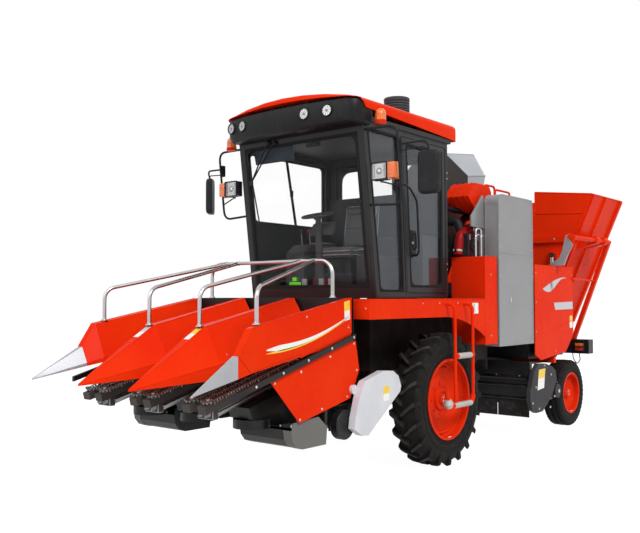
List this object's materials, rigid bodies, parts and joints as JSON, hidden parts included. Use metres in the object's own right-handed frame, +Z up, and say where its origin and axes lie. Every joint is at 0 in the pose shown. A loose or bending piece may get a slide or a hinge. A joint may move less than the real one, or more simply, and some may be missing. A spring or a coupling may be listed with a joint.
{
  "type": "three-row corn combine harvester",
  "caption": "Self-propelled corn picker: snapping header with dividers, glazed cab, rear body, side-tipping ear bin and stalk chopper between the axles.",
  "frame": {"origin": "on the ground under the middle of the machine's box", "axes": "+Z up, the machine faces -Y, +X is its left side"},
  "size_m": [3.041, 7.72, 3.9376],
  "materials": {
    "red_paint": "gloss enamel",
    "tyre": "matt rubber",
    "black_paint": "satin enamel",
    "grey_sheet": "satin, perforated and plain sheet",
    "bright_sheet": "silver enamel",
    "chromed_tube": "polished",
    "chain_steel": "oiled steel",
    "grey_steel": "satin enamel",
    "white_paint": "satin enamel",
    "cab_black": "satin enamel",
    "cab_glass": "tinted safety glass",
    "black_plastic": "matt moulded plastic",
    "lamp_glass": "clear lamp glass",
    "amber_plastic": "amber lens",
    "seat_cover": "vinyl cover",
    "flap_rubber": "rubber flap"
  },
  "bodies": {
    "machine": {"front_axle": "black_paint", "rear_axle": "black_paint", "chassis_frame": "black_paint", "elevator": "red_paint", "elevator_hood": "grey_sheet", "platform": "red_paint", "access_ladder": "red_paint", "side_boxes": "red_paint", "cab_frame": "cab_black", "cab_panels": "cab_black", "cab_glass": "cab_glass", "cab_roof": "red_paint", "lamp_visor": "black_plastic", "lamps": "lamp_glass", "amber_lamps": "amber_plastic", "mirrors": "black_plastic", "seat": "seat_cover", "controls": "black_plastic", "air_intake": "black_plastic", "engine": "grey_steel", "radiator_screen": "grey_sheet", "body_panels": "red_paint", "husker": "black_paint", "bin_frame": "red_paint", "chopper_hood": "black_paint", "chopper_flaps": "flap_rubber", "chopper_guard": "grey_steel", "arch_liners": "black_paint", "cooling_duct": "red_paint"},
    "drive_wheel_left": {"drive_tyre_left": "tyre", "drive_rim_left": "red_paint"},
    "drive_wheel_right": {"drive_tyre_right": "tyre", "drive_rim_right": "red_paint"},
    "guide_wheel_left": {"guide_tyre_left": "tyre", "guide_rim_left": "red_paint"},
    "guide_wheel_right": {"guide_tyre_right": "tyre", "guide_rim_right": "red_paint"},
    "steer_left": {"knuckle_left": "black_paint"},
    "steer_right": {"knuckle_right": "black_paint"},
    "header": {"feeder_house": "black_paint", "header_frame": "black_paint", "header_side_plates": "red_paint", "divider_hoods": "red_paint", "divider_tips": "bright_sheet", "header_rails": "chromed_tube", "row_units": "black_paint", "gathering_chains": "chain_steel", "skid_shoes": "grey_steel", "drive_cover": "white_paint", "row_gearboxes": "black_paint"},
    "auger": {"header_auger": "black_paint"},
    "lift_barrels": {"lift_barrels": "black_paint"},
    "lift_rods": {"lift_rods": "chromed_tube"},
    "door": {"cab_door": "cab_black", "door_glass": "cab_glass"},
    "bin": {"ear_bin": "red_paint"},
    "bin_barrel": {"bin_barrel": "black_paint"},
    "bin_rod": {"bin_rod": "chromed_tube"},
    "rotor": {"chopper_rotor": "black_paint"}
  },
  "joints": [
    {"name": "drive_wheel_left_spin", "type": "hinge", "parent": "machine", "child": "drive_wheel_left", "pos_m": [0.965, -0.59, 0.655], "axis": [1, 0, 0], "continuous": true},
    {"name": "steer_left_turn", "type": "hinge", "parent": "machine", "child": "steer_left", "pos_m": [0.69, 2.642, 0.424], "axis": [0, 0, 1], "range_deg": [-30, 30]},
    {"name": "guide_wheel_left_spin", "type": "hinge", "parent": "steer_left", "child": "guide_wheel_left", "pos_m": [0.92, 2.642, 0.424], "axis": [1, 0, 0], "continuous": true},
    {"name": "drive_wheel_right_spin", "type": "hinge", "parent": "machine", "child": "drive_wheel_right", "pos_m": [-0.965, -0.59, 0.655], "axis": [1, 0, 0], "continuous": true},
    {"name": "steer_right_turn", "type": "hinge", "parent": "machine", "child": "steer_right", "pos_m": [-0.69, 2.642, 0.424], "axis": [0, 0, 1], "range_deg": [-30, 30]},
    {"name": "guide_wheel_right_spin", "type": "hinge", "parent": "steer_right", "child": "guide_wheel_right", "pos_m": [-0.92, 2.642, 0.424], "axis": [1, 0, 0], "continuous": true},
    {"name": "header_lift", "type": "hinge", "parent": "machine", "child": "header", "pos_m": [0, -1.52, 0.93], "axis": [1, 0, 0], "range_deg": [0, 19]},
    {"name": "auger_spin", "type": "hinge", "parent": "header", "child": "auger", "pos_m": [0, -2.25, 0.93], "axis": [1, 0, 0], "continuous": true},
    {"name": "lift_barrel_swing", "type": "hinge", "parent": "machine", "child": "lift_barrels", "pos_m": [0, -1.29, 0.42], "axis": [1, 0, 0], "range_deg": [-1, 14.15]},
    {"name": "lift_rod_slide", "type": "slide", "parent": "lift_barrels", "child": "lift_rods", "axis": [0, -0.995, 0.0995], "range_m": [-0.1727, 0.003]},
    {"name": "cab_door_swing", "type": "hinge", "parent": "machine", "child": "door", "pos_m": [0.812, -0.122, 2.4], "axis": [0, 0, 1], "range_deg": [0, 75]},
    {"name": "bin_tip", "type": "hinge", "parent": "machine", "child": "bin", "pos_m": [1.25, 3.11, 2.41], "axis": [0, 1, 0], "range_deg": [0, 45]},
    {"name": "bin_barrel_swing", "type": "hinge", "parent": "machine", "child": "bin_barrel", "pos_m": [0.788, 2.642, 1], "axis": [0, 1, 0], "range_deg": [-2, 1]},
    {"name": "bin_rod_slide", "type": "slide", "parent": "bin_barrel", "child": "bin_rod", "axis": [0, 0, 1], "range_m": [-0.003, 0.3856]},
    {"name": "rotor_spin", "type": "hinge", "parent": "machine", "child": "rotor", "pos_m": [0, 1.71, 0.48], "axis": [1, 0, 0], "continuous": true}
  ],
  "couplings": [
    {"joint": "steer_right_turn", "follows": "steer_left_turn", "ratio": 1},
    {"joint": "lift_barrel_swing", "follows": "header_lift", "ratio": 0.6922},
    {"joint": "lift_rod_slide", "follows": "header_lift", "m_per_rad": -0.5117},
    {"joint": "bin_barrel_swing", "follows": "bin_tip", "ratio": -0.0228},
    {"joint": "bin_rod_slide", "follows": "bin_tip", "m_per_rad": 0.4872}
  ]
}
